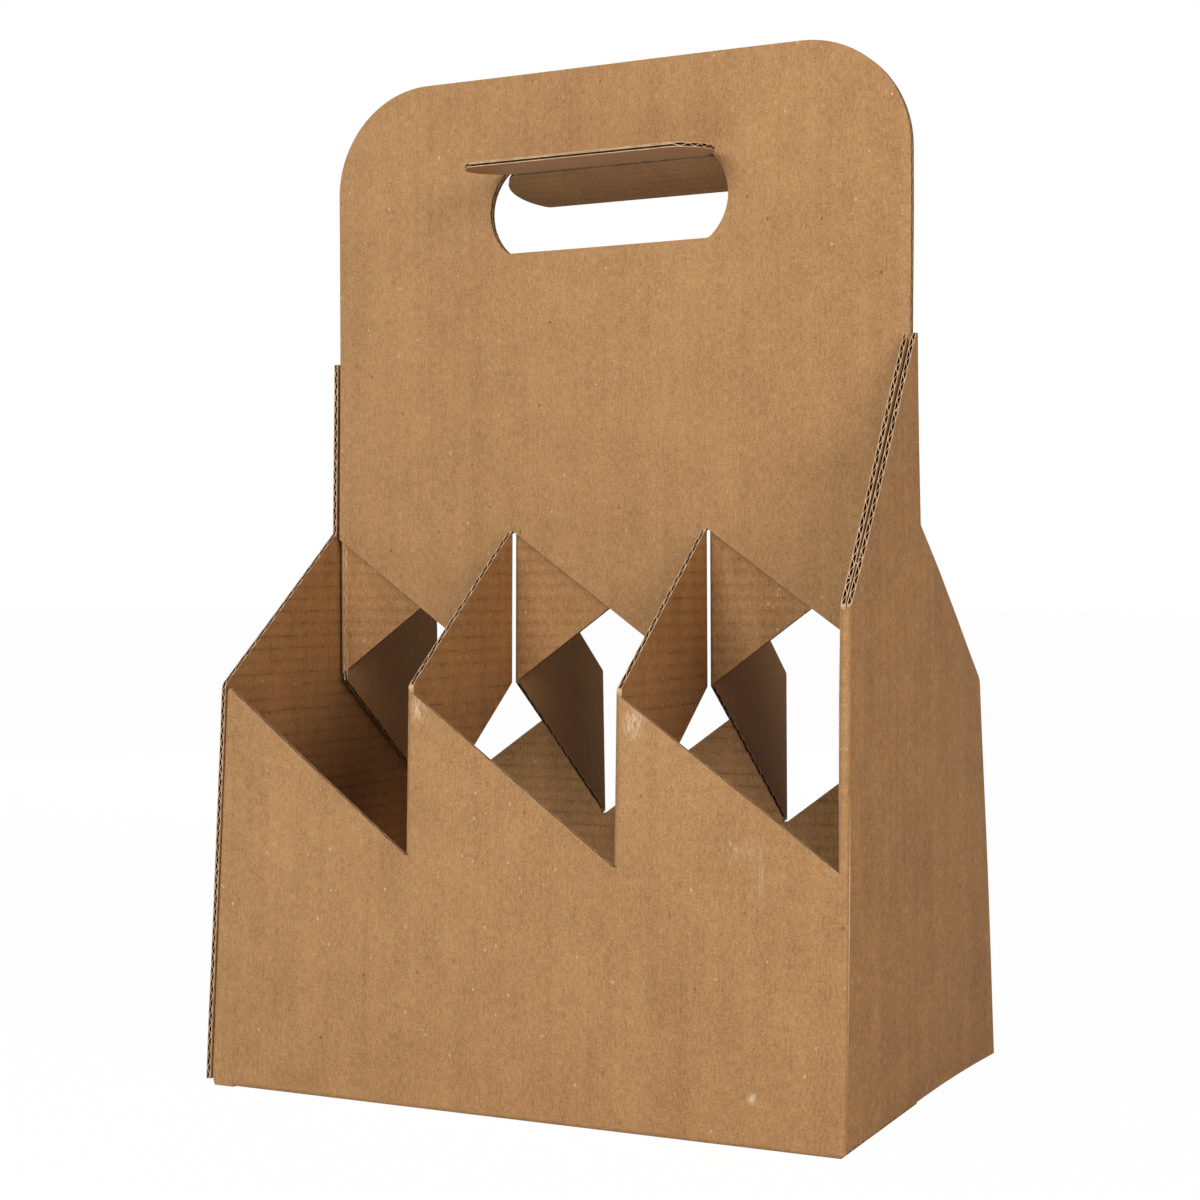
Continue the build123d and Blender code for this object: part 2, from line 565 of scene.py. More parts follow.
@dataclass(frozen=True)
class Settle:
    """How the set-up carrier has given: its free corners flare, its faces bow away from foot and crease."""

    sizes: CarrierSizes
    flare: float = 3.3 * MM
    bow: float = 0.7 * MM
    bow_length: float = 80 * MM
    bow_rise: float = 0.3
    foot: float = 30 * MM
    lean_from: float = 140 * MM
    lean_right: float = 1.5 * MM
    lean_left: float = 0.5 * MM
    wall_from: float = 110.3 * MM
    seed: int = 7

    def moved(self, place: Vector) -> Vector:
        """Where a point of the true sheet lies in the settled carrier.

        Args:
            place: the point.

        Returns:
            The moved point.
        """
        s = self.sizes
        across, back = 2 * place.x / s.length, 2 * place.y / s.base_depth
        share = max(0.0, across * back) ** 2 * max(0.0, 1 - place.z / s.tooth_top)
        if abs(place.x) > self.wall_from and place.z > self.lean_from:
            rise = (place.z - self.lean_from) / (s.shoulder_top - self.lean_from)
            share_in = rise * (1 - min(1.0, abs(back)))
            place = place - Vector((share_in * (self.lean_right if place.x > 0 else -self.lean_left), 0, 0))
        beside = max(0.0, abs(place.x) - s.hole_straight / 2 - s.hole_bulge)
        held = min(1.0, max(0.0, place.z) / self.foot, math.hypot(beside, place.z - s.hole_top) / self.foot)
        wave = noise.noise_vector(place / self.bow_length) * self.bow * held
        outwards = math.copysign(self.flare * share, across) + wave.x
        return place + Vector((outwards, wave.y, wave.z * self.bow_rise))

    def apply(self, piece: bpy.types.Object) -> None:
        """Moves every vertex of a piece to its settled place."""
        noise.seed_set(self.seed)
        for v in piece.data.vertices:
            v.co = self.moved(v.co)


@dataclass(frozen=True)
class Burr:
    """A tuft of torn fibres that the die left on a cut edge, lying across the board."""

    place: Vector
    reach: float
    width: float = 0.3 * MM

    def build(self) -> list[bpy.types.Object]:
        """Makes the ragged tuft.

        Returns:
            The tuft as a list of one object.
        """
        bm = bmesh.new()
        bmesh.ops.create_icosphere(bm, subdivisions=3, radius=1.0)
        sizes = Vector((self.reach, self.width, self.width))
        for v in bm.verts:
            ragged = 0.75 + 0.6 * noise.noise(v.co * 2.3 + self.place * 900)
            v.co = self.place + Vector(c * size * ragged for c, size in zip(v.co, sizes))
        note_places(bm, 0.0)
        for face in bm.faces:
            face.material_index = Skin.EDGE
            face.smooth = True
        return [as_object(bm, "burr")]


@dataclass
class HalfBlank:
    """One die-cut sheet, folded into half of the carrier."""

    sizes: CarrierSizes
    board: Board
    turn: Turn
    panels: list[Panel] = field(default_factory=list)
    folds: list[Fold] = field(default_factory=list)

    def _add(self, name: str, outline: list[Corner], place: Matrix, **more: object) -> None:
        """Adds a panel to the sheet.

        Args:
            name: the panel's name.
            outline: its corners on the flat sheet.
            place: where it stands.
            more: holes or a grid step.
        """
        shift = PANEL_STEP * (len(self.panels) + 1) + self.turn.shift
        self.panels.append(Panel(name, outline, place, shift, **more))

    def _fold(self, name: str, start: tuple, end: tuple, away: tuple, turn: float,
              skin: Skin = Skin.OUTER, drift: Corner = (0.0, 0.0)) -> None:
        """Adds a rounded fold.

        Args:
            name: the fold's name.
            start: first end of its inner line.
            end: second end of its inner line.
            away: direction in which the turn starts.
            turn: angle of the turn about the line, in degrees.
            skin: which liner shows on the round.
            drift: how far the cut ends run along the fold by the end of the turn.
        """
        along = start[0] if abs(start[0]) > abs(start[1]) else start[1]
        flat = Vector((along, start[2], PANEL_STEP + self.turn.shift))
        self.folds.append(
            Fold(name, Vector(start), Vector(end), Vector(away), math.radians(turn), skin, flat, drift)
        )

    def front_panel(self) -> None:
        """Leaning front panel with its toothed upper edge."""
        s, r = self.sizes, self.board.fold_radius
        left, right = -s.length / 2 + self.board.caliper, s.length / 2
        flap_left = left + s.base_flap_inset
        starts = [left] + [x - self.board.caliper for x in s.folds]
        ends = starts[1:] + [right]
        outline = [(left + r, 0), (flap_left, 0), (flap_left, r), (right - r, r)]
        for start, end in reversed(list(zip(starts, ends))):
            fall = s.tooth_drop / (end - start)
            if end == right:
                outline.append((end - r, s.tooth_low + fall * r))
            else:
                outline += [(end + r, s.tooth_low), (end, s.tooth_low)]
            outline.append((start + r, s.tooth_top - fall * r))
        place = stand(Vector((0, s.front_at(0), 0)), RIGHT, Vector((0, s.lean, 1)), -BACK)
        self._add("front_panel", outline, place, crushed=True)
        fall = s.tooth_drop / (s.length / s.cells)
        climb = (s.slit_top - s.tooth_top) / -s.front_at(s.tooth_top)
        slope = (s.shoulder_top - s.shoulder_front) / -s.front_at(s.shoulder_front)
        tip = s.tooth_top - fall * r
        drift = ((1 - s.corner_start) * r, slope * r)
        self._upright("corner_fold", right - r, s.corner_start * r, s.shoulder_front, 90, drift)
        self._upright("lap_fold", left + r, 0, tip, -90, (s.lap_foot, s.tooth_top - s.lap_below_tooth - tip))
        for x in s.folds:
            drift = (climb * r, (climb + fall) * r)
            self._upright("tooth_fold", x - self.board.caliper + r, s.tooth_low, tip, -90, drift)
        foot_y = s.front_at(0) + r
        self._fold("foot_fold", (flap_left, foot_y, r), (right - r, foot_y, r), (0, -1, 0), 90)

    def _upright(self, name: str, x: float, low: float, high: float, turn: float,
                 drift: Corner = (0.0, 0.0)) -> None:
        """Adds a fold that stands in the leaning front plane.

        Args:
            name: the fold's name.
            x: place of its inner line along the length.
            low: height of its foot.
            high: height of its head.
            turn: angle of the turn, in degrees.
            drift: how far its cut ends climb over the turn.
        """
        s, r = self.sizes, self.board.fold_radius
        start = (x, s.front_at(low) + r, low)
        end = (x, s.front_at(high) + r, high)
        self._fold(name, start, end, (0, -1, s.lean), turn, drift=drift)

    def end_wall(self) -> None:
        """End wall with its slope up to the handle, and the inner flap folded flat against it."""
        s, r, t = self.sizes, self.board.fold_radius, self.board.caliper
        foot = t + s.fold_gap
        rise = (s.shoulder_top - s.shoulder_front) / -s.front_at(s.shoulder_front)
        head = (s.front_at(s.shoulder_front) + r, s.shoulder_front + rise * r)
        wall = [
            (s.front_at(foot) + r, foot),
            head,
            (0, s.shoulder_top),
            (t, s.shoulder_top),
            (t, s.slit_top),
            (-s.front_at(s.tooth_top), s.tooth_top),
            (-s.front_at(foot), foot),
        ]
        wall = rounded(wall, 5, s.wall_corner_radius)
        place = stand(Vector((s.length / 2, 0, 0)), BACK, UP, RIGHT)
        self._add("end_wall", wall, place)
        inner_x = s.length / 2 - 2 * t - s.fold_gap
        climb = (s.slit_low - s.tooth_low) / -s.front_at(s.tooth_low)
        flap = [
            (s.front_at(s.tooth_low) + r, s.tooth_low + climb * r),
            head,
            (-t, s.shoulder_top),
            (0, s.shoulder_top),
            (0, s.slit_low),
        ]
        spring = s.flap_spring / -s.front_at(s.tooth_low)
        origin = Vector((inner_x - s.flap_spring, 0, 0))
        place = stand(origin, Vector((-spring, 1, 0)), UP, Vector((-1, -spring, 0)))
        self._add("inner_flap", flap, place)
        self._upright("flap_fold", inner_x + r, s.tooth_low, s.shoulder_front, -90, (climb * r, rise * r))

    def handle(self) -> None:
        """Handle layer with its hand hole, toothed below, and the folds that tie it to the rest."""
        s, r, t = self.sizes, self.board.fold_radius, self.board.caliper
        half = s.length / 2 - s.handle_inset
        pitch = s.length / s.cells
        fall = s.tooth_drop / pitch
        trim = s.length / 2 - half
        outline = [(-half, s.slit_top - fall * trim)]
        for x in s.folds:
            outline += [(x - r, s.slit_low + fall * r), (x - r, s.slit_top), (x, s.slit_top)]
        outline += [(half, s.slit_low + fall * trim), (half, s.height), (-half, s.height)]
        outline = rounded(outline, len(outline) - 1, s.handle_corner_radius, steps=24)
        at = outline.index((half, s.height))
        outline = rounded(outline, at, s.handle_corner_radius, steps=24)
        hole = [(u, s.hole_top + v) for u, v in hole_outline(s, 0, 0)]
        place = stand(Vector((0, -t, 0)), RIGHT, UP, -BACK)
        self._add("handle_layer", outline, place, holes=[hole])
        climb = (s.slit_low - s.tooth_low) / (-t - s.front_at(s.tooth_low))
        for x in s.folds:
            start, end = (x - r, -r, s.slit_low + fall * r), (x - r, -r, s.slit_top)
            drift = (-fall * r - climb * (r - t), -climb * (r - t))
            self._fold("divider_fold", start, end, (0, 1, 0), -90, Skin.INNER, drift)

    def dividers(self) -> None:
        """Parallelograms between the handle layer and the front panel."""
        s, r, t = self.sizes, self.board.fold_radius, self.board.caliper
        for x in s.folds:
            low_rise = (s.slit_low - s.tooth_low) / (-t - s.front_at(s.tooth_low))
            top_rise = (s.slit_top - s.tooth_top) / (-t - s.front_at(s.tooth_top))
            outline = [
                (s.front_at(s.tooth_low) + r, s.tooth_low + low_rise * r),
                (-r, s.slit_low - low_rise * (r - t)),
                (-r, s.slit_top - top_rise * (r - t)),
                (s.front_at(s.tooth_top) + r, s.tooth_top + top_rise * r),
            ]
            place = stand(Vector((x - t, 0, 0)), BACK, UP, -RIGHT)
            self._add("divider", outline, place)

    def laps(self) -> None:
        """Glue lap and the flaps of the base."""
        s, r, t = self.sizes, self.board.fold_radius, self.board.caliper
        left = -s.length / 2 + t
        head = s.tooth_top - s.lap_below_tooth
        lap = [
            (s.front_at(s.lap_foot) + r, s.lap_foot),
            (s.front_at(s.lap_foot) + s.lap_width, s.lap_foot + s.lap_width * s.lap_foot_rise),
            (s.front_at(head) + s.lap_width, head - s.lap_width),
            (s.front_at(head) + r, head),
        ]
        place = stand(Vector((left, 0, 0)), BACK, UP, -RIGHT)
        self._add("glue_lap", lap, place)
        flap_left = left + s.base_flap_inset
        near = s.front_at(0) + r
        base = [
            (flap_left, near),
            (s.length / 2 - r, near),
            (s.length / 2 - r, 0),
            (s.hook_kerf, 0),
            (s.hook_kerf, -s.hook_ramp),
            (-s.hook_kerf, -s.hook_ramp),
            (-s.hook_kerf, s.hook_tongue),
            (flap_left, s.hook_tongue),
        ]
        place = stand(Vector((0, 0, 0)), RIGHT, BACK, -UP)
        self._add("base_flap", base, place, step=s.hook_ramp / 2)
        near = s.front_at(0) + s.end_flap_inset
        out = s.length / 2
        end = [
            (near, r - out),
            (near + s.end_flap_taper, s.end_flap_reach - out),
            (-s.end_flap_inset - s.end_flap_taper, s.end_flap_reach - out),
            (-s.end_flap_inset, r - out),
        ]
        place = stand(Vector((0, 0, t + s.fold_gap)), BACK, -RIGHT, -UP)
        self._add("end_flap", end, place)
        foot = t + s.fold_gap + r
        self._fold("end_foot_fold", (out - r, near, foot), (out - r, -s.end_flap_inset, foot), (1, 0, 0), 90)

    def burrs(self) -> list[Burr]:
        """Torn fibres on the slope of the near end wall and its inner flap.

        Returns:
            The tufts of the front half-blank, and none for the rear one.
        """
        s = self.sizes
        if self.turn is Turn.REAR:
            return []
        near = Vector((s.length / 2, s.front_at(s.shoulder_front), s.shoulder_front))
        far = Vector((s.length / 2, 0, s.shoulder_top))
        # Share of the way up the slope, then depth below the wall's face and reach of the tuft in millimetres
        spots = ((0.70, 0.9, 0.8), (0.70, 4.5, 0.9), (0.18, 0.7, 0.9), (0.16, 1.9, 0.6), (0.11, 3.5, 0.9))
        tufts = []
        for share, deep, reach in spots:
            place = near.lerp(far, share) - RIGHT * (deep * MM)
            tufts.append(Burr(place, reach * MM))
        return tufts

    def hook(self, place: Vector) -> Vector:
        """Lifts the hooked half of the base flap over its twin.

        Args:
            place: a point of the flat flap.

        Returns:
            The point where it lies in the folded base.
        """
        s = self.sizes
        if place.x > 0 or place.z > 2 * self.board.caliper or place.y < -s.hook_ramp:
            return place
        part = min(1.0, (place.y + s.hook_ramp) / s.hook_ramp)
        return place + Vector((0, 0, part * (self.board.caliper + s.fold_gap)))

    def build(self, finishes: list[bpy.types.Material]) -> bpy.types.Object:
        """Builds every panel and fold, joins them and turns the sheet to its side.

        Args:
            finishes: the finishes in the order of the skins.

        Returns:
            The finished sheet.
        """
        self.front_panel()
        self.end_wall()
        self.handle()
        self.dividers()
        self.laps()
        parts = []
        for panel in self.panels:
            made = panel.build(self.board)
            if panel.name == "base_flap":
                for layer in made:
                    for v in layer.data.vertices:
                        v.co = self.hook(v.co)
            parts += made
        for fold in self.folds:
            parts += fold.build(self.board)
        for burr in self.burrs():
            parts += burr.build()
        sheet = joined(parts, f"{self.turn.name.lower()}_sheet", finishes)
        sheet.data.transform(Matrix.Rotation(self.turn.value, 4, "Z"))
        Settle(self.sizes).apply(sheet)
        return sheet


def hole_outline(s: CarrierSizes, shrink: float, top: float) -> list[Corner]:
    """Outline of the hand hole or its tongue, measured from the crease.

    Args:
        s: the carrier's sizes.
        shrink: how much smaller all round.
        top: how far below the crease it starts.

    Returns:
        The corners, anticlockwise from the top right.
    """
    half = s.hole_straight / 2 - shrink
    foot = s.hole_height - shrink
    middle = (top + foot) / 2
    left = arc((-half, -top), (-half - s.hole_bulge, -middle), (-half, -foot), 16)
    right = arc((half, -foot), (half + s.hole_bulge, -middle), (half, -top), 16)
    outline = left + [(-half, -foot), (half, -foot)] + right[1:] + [(half, -top)]
    for corner in ((half, -foot), (-half, -foot)):
        outline = rounded(outline, outline.index(corner), s.hole_corner_radius, 4)
    return outline


@dataclass
class HandFlap:
    """The tongue cut from the hand hole of one layer, hanging on its crease."""

    sizes: CarrierSizes
    board: Board
    turn: Turn

    def build(self, finishes: list[bpy.types.Material]) -> bpy.types.Object:
        """Cuts the tongue and swings it out.

        Args:
            finishes: the finishes in the order of the skins.

        Returns:
            The finished flap.
        """
        s, t = self.sizes, self.board.caliper
        front = self.turn is Turn.FRONT
        side = -1 if front else 1
        swing = math.radians(s.front_tongue_angle if front else s.rear_tongue_angle)
        out = Vector((0, side * math.cos(swing), math.sin(swing)))
        along = RIGHT * -side
        origin = Vector((0, side * t, s.hole_top)) + out * s.tongue_play
        place = stand(origin, along, out.cross(along), out)
        outline = hole_outline(s, s.tongue_kerf, s.tongue_crease)
        name = f"{self.turn.name.lower()}_tongue"
        panel = Panel(name, outline, place, FLAP_SHIFT + self.turn.shift, step=s.tongue_band)
        flap = joined(panel.build(self.board), f"{name}_flap", finishes)
        if not front:
            self.curl(flap, place)
        return flap

    def curl(self, flap: bpy.types.Object, place: Matrix) -> None:
        """Bends the tongue a little further up past a soft second crease near its root.

        Args:
            flap: the tongue.
            place: where its flat sheet stands.
        """
        band, turn = self.sizes.tongue_band, math.radians(self.sizes.tongue_curl)
        for v in flap.data.vertices:
            flat = place.inverted() @ v.co
            over = -flat.y - band
            if over > 0:
                flat.y = -band - over * math.cos(turn)
                flat.z += over * math.sin(turn)
            v.co = place @ flat


class Recipe:
    """A material under construction: adds nodes and links them."""

    def __init__(self, name: str) -> None:
        """Starts a material with nothing but its output.

        Args:
            name: the material's name.
        """
        self.material = bpy.data.materials.new(name)
        self.material.use_nodes = True
        self.tree = self.material.node_tree
        self.tree.nodes.clear()
        self.output = self.tree.nodes.new("ShaderNodeOutputMaterial")

    def add(self, kind: str, **values: object) -> bpy.types.Node:
        """Adds a node. A socket goes by its name with spaces as underscores, or by in0, in1 and so on.

        Args:
            kind: the node's type without the ShaderNode prefix.
            values: properties, socket values, or output sockets to link.

        Returns:
            The new node.
        """
        node = self.tree.nodes.new("ShaderNode" + kind)
        for name, value in values.items():
            if hasattr(node, name):
                setattr(node, name, value)
                continue
            numbered = name.startswith("in") and name[2:].isdigit()
            socket = node.inputs[int(name[2:]) if numbered else name.replace("_", " ")]
            if isinstance(value, bpy.types.NodeSocket):
                self.tree.links.new(value, socket)
            else:
                socket.default_value = value
        return node

    def place(self, scale: Triple, centre: Triple = (0, 0, 0)) -> bpy.types.NodeSocket:
        """The flat place on the sheet, measured from a centre and stretched by a scale.

        Args:
            scale: how many units of texture go to a metre each way.
            centre: the place that becomes the texture's origin.

        Returns:
            The vector socket.
        """
        source = self.add("Attribute", attribute_name=PLACE)
        shift = tuple(-c * f for c, f in zip(centre, scale))
        return self.add("Mapping", Vector=source.outputs["Vector"], Scale=scale, Location=shift).outputs[0]

    def mottle(self, scale: Triple, detail: float, rough: float = 0.5) -> bpy.types.NodeSocket:
        """A cloudy value between 0 and 1.

        Args:
            scale: texture units to a metre each way.
            detail: how many finer layers it has.
            rough: weight of the finer layers.

        Returns:
            The value socket.
        """
        tex = self.add("TexNoise", Vector=self.place(scale), Scale=1.0, Detail=detail, Roughness=rough)
        return tex.outputs[0]

    def ramp(self, value: bpy.types.NodeSocket, low: float, high: float,
             to_low: float = 0.0, to_high: float = 1.0) -> bpy.types.NodeSocket:
        """Maps a value from one range to another, held at its ends.

        Args:
            value: the socket to map.
            low: value that goes to to_low.
            high: value that goes to to_high.
            to_low: first result.
            to_high: last result.

        Returns:
            The mapped value.
        """
        node = self.add("MapRange", Value=value, From_Min=low, From_Max=high, To_Min=to_low, To_Max=to_high)
        return node.outputs[0]

    def sum(self, operation: str, a: object, b: object, c: object = 0.0) -> bpy.types.NodeSocket:
        """A step of arithmetic.

        Args:
            operation: the Math node's operation.
            a: first value or socket.
            b: second value or socket.
            c: third value or socket.

        Returns:
            The result.
        """
        return self.add("Math", operation=operation, in0=a, in1=b, in2=c).outputs[0]

    def tint(self, factor: object, a: object, b: object, blend: str = "MIX") -> bpy.types.NodeSocket:
        """Mixes two colours.

        Args:
            factor: share of the second colour.
            a: first colour or socket.
            b: second colour or socket.
            blend: the Mix node's way of mixing.

        Returns:
            The mixed colour.
        """
        node = self.tree.nodes.new("ShaderNodeMix")
        node.data_type = "RGBA"
        node.blend_type = blend
        for socket, value in ((node.inputs[0], factor), (node.inputs[6], a), (node.inputs[7], b)):
            if isinstance(value, bpy.types.NodeSocket):
                self.tree.links.new(value, socket)
            else:
                socket.default_value = value
        return node.outputs[2]

    def surface(self, colour: bpy.types.NodeSocket, rough: bpy.types.NodeSocket,
                height: bpy.types.NodeSocket, depth: float, specular: float) -> bpy.types.Material:
        """Ends the recipe with the paper's shader.

        Args:
            colour: base colour.
            rough: roughness.
            height: height of the relief, 0 to 1.
            depth: what a height of 1 stands for, in metres.
            specular: specular level of the paper.

        Returns:
            The finished material.
        """
        bump = self.add("Bump", Height=height, Distance=depth, Strength=1.0)
        shader = self.add(
            "BsdfPrincipled",
            Base_Color=colour,
            Roughness=rough,
            Normal=bump.outputs[0],
            Specular_IOR_Level=specular,
        )
        self.tree.links.new(shader.outputs[0], self.output.inputs[0])
        return self.material


def shade(colour: Triple) -> tuple[float, float, float, float]:
    """A colour with full opacity."""
    return (*colour, 1.0)


@dataclass(frozen=True)
class Grain:
    """One layer of the paper's unevenness: cells to a metre both ways, fineness and weight."""

    across: float
    up: float
    detail: float
    weight: float


@dataclass(frozen=True)
class Specks:
    """Sparse small specks: cells to a metre, radii of core and rim in cells, share left empty, strength."""

    density: float
    core: float
    rim: float
    rarity: float
    strength: float


@dataclass(frozen=True)
class Scuff:
    """A pale rubbed spot on the front panel: its place, its half-width and half-height, its strength."""

    u: float
    v: float
    width: float
    height: float
    strength: float


PAPER_GRAIN = (
    Grain(30, 20, 2, 0.24),
    Grain(95, 60, 2, 0.28),
    Grain(62, 5, 2, 0.16),
    Grain(260, 8, 2, 0.24),
    Grain(330, 240, 2, 0.30),
    Grain(1150, 420, 3, 0.78),
    Grain(2600, 1500, 2, 1.15),
)


@dataclass(frozen=True)
class KraftLiner:
    """Brown kraft paper: clouds, upright fibres, dark shives, pale flecks and rubbed spots.

    The uneven panels and the calm ones, where the flute lines are weak, are given by the third value of
    their flat places.
    """

    name: str
    deep: Triple
    pale: Triple
    shive: Triple = (0.150, 0.074, 0.030)
    rubbed: Triple = (0.780, 0.640, 0.480)
    grains: tuple[Grain, ...] = PAPER_GRAIN
    dark_specks: Specks = Specks(150, 0.035, 0.085, 0.60, 0.80)
    pale_specks: Specks = Specks(240, 0.050, 0.120, 0.66, 0.45)
    scuffs: tuple[Scuff, ...] = ()
    uneven_panels: tuple[float, ...] = ()
    uneven_gain: float = 1.7
    dashes: float = 0.0
    calm_middle: float = 4.0
    calm_reach: float = 0.62
    calm_share: float = 0.3
    # Weight of the painted shade of the flute ripples; it also feeds the bump.
    washboard_shade: float = 0.0
    gloss: float = 0.12

    def build(self) -> bpy.types.Material:
        """Makes the material.

        Returns:
            The kraft paper's material.
        """
        r = Recipe(self.name)
        tone: object = 0.5
        for grain in self.grains:
            cells = r.mottle((grain.across, grain.up, grain.across), grain.detail, 0.6)
            tone = r.sum("MULTIPLY_ADD", r.sum("SUBTRACT", cells, 0.5), grain.weight, tone)
        panel = r.add("SeparateXYZ", Vector=r.place((1, 1, 1))).outputs[2]
        for place in self.uneven_panels:
            gain = r.ramp(r.sum("COMPARE", panel, place, 0.01), 0.0, 1.0, 1.0, self.uneven_gain)
            tone = r.sum("MULTIPLY_ADD", r.sum("SUBTRACT", tone, 0.5), gain, 0.5)
        # Painted shade of the flute ripples: lighter and darker bands in the colour, which also feed the bump
        # height.
        if self.washboard_shade > 0:
            tone = r.sum("MULTIPLY_ADD", self.flute_wave(r), self.washboard_shade, tone)
        colour = r.tint(tone, shade(self.deep), shade(self.pale))
        colour = r.tint(self.sprinkle(r, self.dark_specks), colour, shade(self.shive))
        colour = r.tint(self.sprinkle(r, self.pale_specks), colour, shade(self.rubbed))
        height = tone
        if self.dashes > 0:
            lines = self.flute_lines(r)
            calm = r.sum("COMPARE", panel, self.calm_middle, self.calm_reach)
            cover = r.ramp(calm, 0.0, 1.0, self.dashes, self.dashes * self.calm_share)
            colour = r.tint(r.sum("MULTIPLY", lines, cover), colour, shade(self.shive))
            height = r.sum("SUBTRACT", height, lines)
        for scuff in self.scuffs:
            colour = r.tint(self.rub(r, scuff), colour, shade(self.rubbed))
        rough = r.ramp(tone, 0.3, 0.7, 0.62, 0.78)
        return r.surface(colour, rough, height, 0.10 * MM, self.gloss)

    def sprinkle(self, r: Recipe, specks: Specks) -> bpy.types.NodeSocket:
        """Cover of the sparse small specks in the paper.

        Args:
            r: the recipe in work.
            specks: how many, how large and how strong they are.

        Returns:
            The specks' cover, 0 to 1.
        """
        place = r.place((specks.density, specks.density * 0.7, specks.density))
        cells = r.add("TexVoronoi", Vector=place, Scale=1.0, feature="F1")
        dot = r.ramp(cells.outputs["Distance"], specks.core, specks.rim, specks.strength, 0.0)
        chosen = r.add("SeparateColor", Color=cells.outputs["Color"]).outputs[0]
        return r.sum("MULTIPLY", dot, r.ramp(chosen, specks.rarity, specks.rarity + 0.05))

    def rub(self, r: Recipe, scuff: Scuff) -> bpy.types.NodeSocket:
        """Cover of one rubbed spot, broken up by the fibres.

        Args:
            r: the recipe in work.
            scuff: the spot.

        Returns:
            The spot's cover, 0 to 1.
        """
        place = r.place((1 / scuff.width, 1 / scuff.height, 20), (scuff.u, scuff.v, PANEL_STEP))
        away = r.add("VectorMath", operation="LENGTH", in0=place).outputs["Value"]
        soft = r.ramp(away, 0.2, 1.0, scuff.strength, 0.0)
        return r.sum("MULTIPLY", soft, r.ramp(r.mottle((1400, 300, 1), 3, 0.7), 0.42, 0.62))

    def flute_turns(self, r: Recipe) -> bpy.types.NodeSocket:
        """Place across the flutes, one unit to a flute, from 0 at each tip.

        Args:
            r: the recipe in work.

        Returns:
            The place within the flute, 0 to 1.
        """
        place = r.add("SeparateXYZ", Vector=r.place((1, 1, 1)))
        wobble = r.sum("MULTIPLY", r.mottle((50, 160, 50), 2), 0.22)
        return r.sum("FRACT", r.sum("MULTIPLY_ADD", place.outputs[1], 1 / Board().flute_pitch, wobble), 0)

    def flute_wave(self, r: Recipe) -> bpy.types.NodeSocket:
        """Painted shade of the flute ripples in the paper, from -1 to 1."""
        return r.sum("COSINE", r.sum("MULTIPLY", self.flute_turns(r), math.tau), 0)

    def flute_lines(self, r: Recipe) -> bpy.types.NodeSocket:
        """Broken dark lines where the flute tips press through the paper.

        Args:
            r: the recipe in work.

        Returns:
            The strength of the lines, 0 to 1.
        """
        off = r.sum("ABSOLUTE", r.sum("SUBTRACT", self.flute_turns(r), 0.5), 0)
        line = r.ramp(off, 0.03, 0.10, 1.0, 0.0)
        broken = r.ramp(r.mottle((85, 260, 85), 3, 0.7), 0.47, 0.60)
        frayed = r.ramp(r.mottle((900, 900, 900), 2), 0.3, 0.6, 0.35, 1.0)
        return r.sum("MULTIPLY", r.sum("MULTIPLY", line, broken), frayed)


@dataclass(frozen=True)
class RawEdge:
    """Cut or fluted paper: rough and uneven."""

    name: str
    paper: Triple
    dust: Triple

    def build(self) -> bpy.types.Material:
        """Makes the material.

        Returns:
            The cut paper's material.
        """
        r = Recipe(self.name)
        grain = r.mottle((2600, 2600, 2600), 3, 0.7)
        patch = r.mottle((220, 220, 220), 2)
        colour = r.tint(r.ramp(grain, 0.35, 0.65), shade(self.paper), shade(self.dust))
        colour = r.tint(r.ramp(patch, 0.42, 0.60, 0.0, 0.7), colour, shade(self.paper))
        return r.surface(colour, r.ramp(grain, 0.3, 0.7, 0.8, 0.95), grain, 0.08 * MM, 0.05)


@dataclass(frozen=True)
class Finishes:
    """Every finish of the carrier, in the order of the skins."""

    outer: KraftLiner = KraftLiner(
        name="kraft_outer_liner",
        deep=(0.220, 0.112, 0.042),
        pale=(0.610, 0.370, 0.176),
        uneven_panels=(2 * PANEL_STEP, 2 * PANEL_STEP + REAR_SHIFT),
        scuffs=(
            Scuff(-0.0345, 0.1290, 0.0035, 0.0060, 0.75),
            Scuff(0.0425, 0.1260, 0.0045, 0.0065, 0.80),
            Scuff(0.0830, 0.0150, 0.0022, 0.0022, 0.80),
            Scuff(0.0790, 0.0890, 0.0100, 0.0040, 0.22),
            Scuff(0.0850, 0.0800, 0.0020, 0.0120, 0.25),
            Scuff(0.1085, 0.0860, 0.0040, 0.0040, 0.35),
        ),
    )
    inner: KraftLiner = KraftLiner(
        name="kraft_inner_liner",
        deep=(0.205, 0.098, 0.036),
        pale=(0.570, 0.330, 0.150),
        dashes=0.55,
        washboard_shade=0.05,
        gloss=0.08,
    )
    edge: RawEdge = RawEdge("cut_board_edge", (0.480, 0.320, 0.185), (0.800, 0.620, 0.430))
    # The medium's paper is painted much darker than the liners, as shade inside the flute cells.
    medium: RawEdge = RawEdge("fluted_medium", (0.085, 0.042, 0.020), (0.160, 0.082, 0.040))

    def materials(self) -> list[bpy.types.Material]:
        """Builds the materials in the order of the skins and returns them."""
        return [self.outer.build(), self.inner.build(), self.edge.build(), self.medium.build()]


